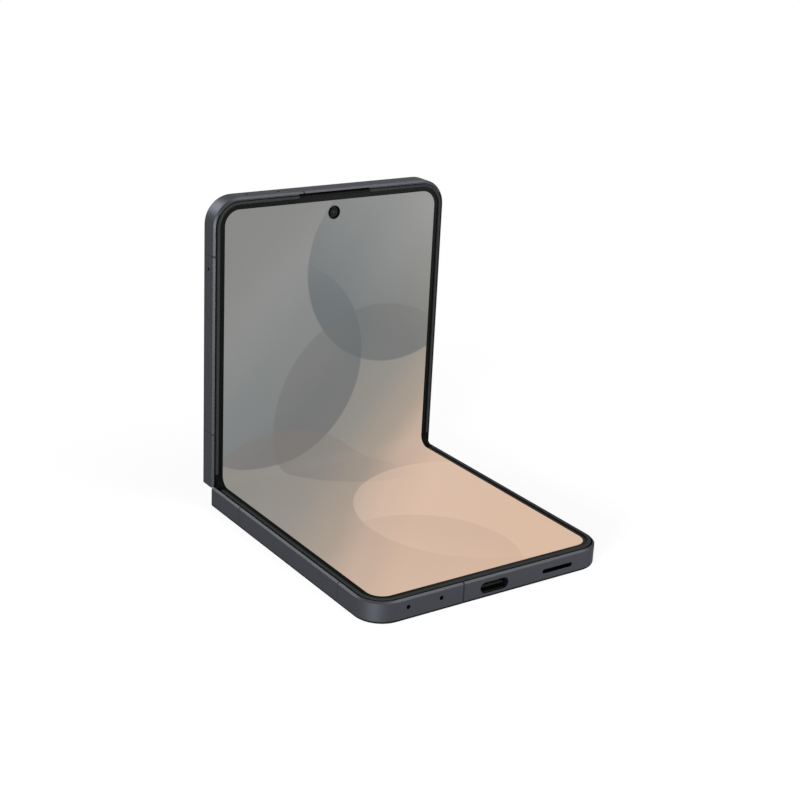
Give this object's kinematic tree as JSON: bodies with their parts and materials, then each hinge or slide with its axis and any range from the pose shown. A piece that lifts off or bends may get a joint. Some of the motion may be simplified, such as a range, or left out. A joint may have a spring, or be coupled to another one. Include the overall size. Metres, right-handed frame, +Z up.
{
  "type": "foldable smartphone",
  "caption": "Clamshell folding telephone, half open at a right angle: flexible inner screen, geared double-axis hinge, keys, card tray, ports and a camera side with a cover screen.",
  "frame": {"origin": "centre of the bounding box's bottom face, on the plane the lower half's back lies on", "axes": "+X across the telephone to the right as one faces the inner screen, +Y from the free end of the lower half towards the fold, +Z up along the standing upper half"},
  "size_m": [0.0756, 0.09, 0.0888],
  "materials": {
    "frame_metal": "fine blasted and anodised, slate grey, satin",
    "tray_metal": "fine blasted and anodised, slate grey, satin",
    "aerial_plastic": "moulded in a tone next to the metal",
    "back_glass": "etched matte glass over an opaque slate coat",
    "cover_glass": "polished glass over an opaque black mask",
    "cover_panel": "dark display panel",
    "surround": "black moulded screen surround, slight sheen",
    "screen": "flexible display under a clear film, lit",
    "seal": "black flexible strip",
    "plate_metal": "thin rolled sheet",
    "battery_pouch": "foil pouch with a dark wrap",
    "ferrite": "black magnetic sheet",
    "coil_copper": "enamelled copper winding",
    "board": "solder mask on glass fibre",
    "shell_steel": "bright drawn steel",
    "black_plastic": "black moulded plastic",
    "mesh": "fine dark woven mesh",
    "sensor_gold": "gold plated lid",
    "screw_steel": "dark zinc plated",
    "hinge_steel": "sintered stainless steel, greased",
    "spine_metal": "slate grey anodised, satin",
    "ring_metal": "turned and anodised, slate grey",
    "lens_glass": "coated dark window",
    "lamp": "diffusing lamp cover",
    "front_lens": "black barrel with a small coated lens"
  },
  "bodies": {
    "lower_half": {"lower_frame": "frame_metal", "aerial_breaks_lower": "aerial_plastic", "back_glass_lower": "back_glass", "surround_lower": "surround", "screen_lower": "screen", "support_plate_lower": "plate_metal", "battery_lower": "battery_pouch", "shield_sheet": "ferrite", "charging_coil": "coil_copper", "port_board": "board", "usb_shell": "shell_steel", "usb_tongue": "black_plastic", "speaker_box": "black_plastic", "speaker_mesh": "mesh", "vibration_motor": "shell_steel", "microphones_lower": "sensor_gold", "carrier_lower": "black_plastic", "screws_lower": "screw_steel", "rotator_lower": "hinge_steel", "gear_arm_lower": "hinge_steel", "arm_screws_lower": "screw_steel"},
    "spine": {"spine_cover": "spine_metal", "spine_caps": "black_plastic", "hinge_brackets": "hinge_steel", "bracket_screws": "screw_steel", "screen_fold": "screen", "fold_seals": "seal"},
    "upper_half": {"upper_frame": "frame_metal", "aerial_breaks_upper": "aerial_plastic", "cover_glass": "cover_glass", "cover_panel": "cover_panel", "surround_upper": "surround", "screen_upper": "screen", "support_plate_upper": "plate_metal", "battery_upper": "battery_pouch", "main_board": "board", "board_shields": "shell_steel", "camera_rings": "ring_metal", "camera_windows": "lens_glass", "camera_modules": "black_plastic", "flash_lamp": "lamp", "front_camera": "front_lens", "earpiece_box": "black_plastic", "earpiece_mesh": "mesh", "microphones_upper": "sensor_gold", "screws_upper": "screw_steel", "rotator_upper": "hinge_steel", "gear_arm_upper": "hinge_steel", "arm_screws_upper": "screw_steel", "key_switches": "sensor_gold", "tray_socket": "shell_steel"},
    "idler_lower": {"idler_gear_lower": "hinge_steel"},
    "idler_upper": {"idler_gear_upper": "hinge_steel"},
    "volume_key": {"volume_key": "frame_metal"},
    "side_key": {"side_key": "frame_metal"},
    "card_tray": {"card_tray": "tray_metal"}
  },
  "joints": [
    {"name": "fold_lower", "type": "hinge", "parent": "lower_half", "child": "spine", "pos_m": [0, 0.03653, 0.00475], "axis": [1, 0, 0], "range_deg": [-45, 45], "deforming": ["screen_fold", "fold_seals"]},
    {"name": "fold_upper", "type": "hinge", "parent": "spine", "child": "upper_half", "pos_m": [0, 0.03907, 0.0073], "axis": [1, 0, 0], "range_deg": [-45, 45]},
    {"name": "idler_lower_spin", "type": "hinge", "parent": "spine", "child": "idler_lower", "pos_m": [0, 0.03881, 0.00374], "axis": [1, 0, 0], "range_deg": [-80.01, 80.01]},
    {"name": "idler_upper_spin", "type": "hinge", "parent": "spine", "child": "idler_upper", "pos_m": [0, 0.04009, 0.00501], "axis": [1, 0, 0], "range_deg": [-80.01, 80.01]},
    {"name": "volume_rock", "type": "hinge", "parent": "upper_half", "child": "volume_key", "pos_m": [0.0364, 0.04072, 0.0725], "axis": [0, 1, 0], "range_deg": [-1.2, 1.2], "stiffness_Nm_per_rad": 0.6},
    {"name": "side_press", "type": "slide", "parent": "upper_half", "child": "side_key", "axis": [-1, 0, 0], "range_m": [0, 0.0002], "stiffness_N_per_m": 4000},
    {"name": "tray_slide", "type": "slide", "parent": "upper_half", "child": "card_tray", "axis": [-1, 0, 0], "range_m": [0, 0.012]}
  ],
  "couplings": [
    {"joint": "fold_lower", "follows": "fold_upper", "ratio": 1},
    {"joint": "idler_lower_spin", "follows": "fold_upper", "ratio": 1.7778},
    {"joint": "idler_upper_spin", "follows": "fold_upper", "ratio": -1.7778}
  ]
}
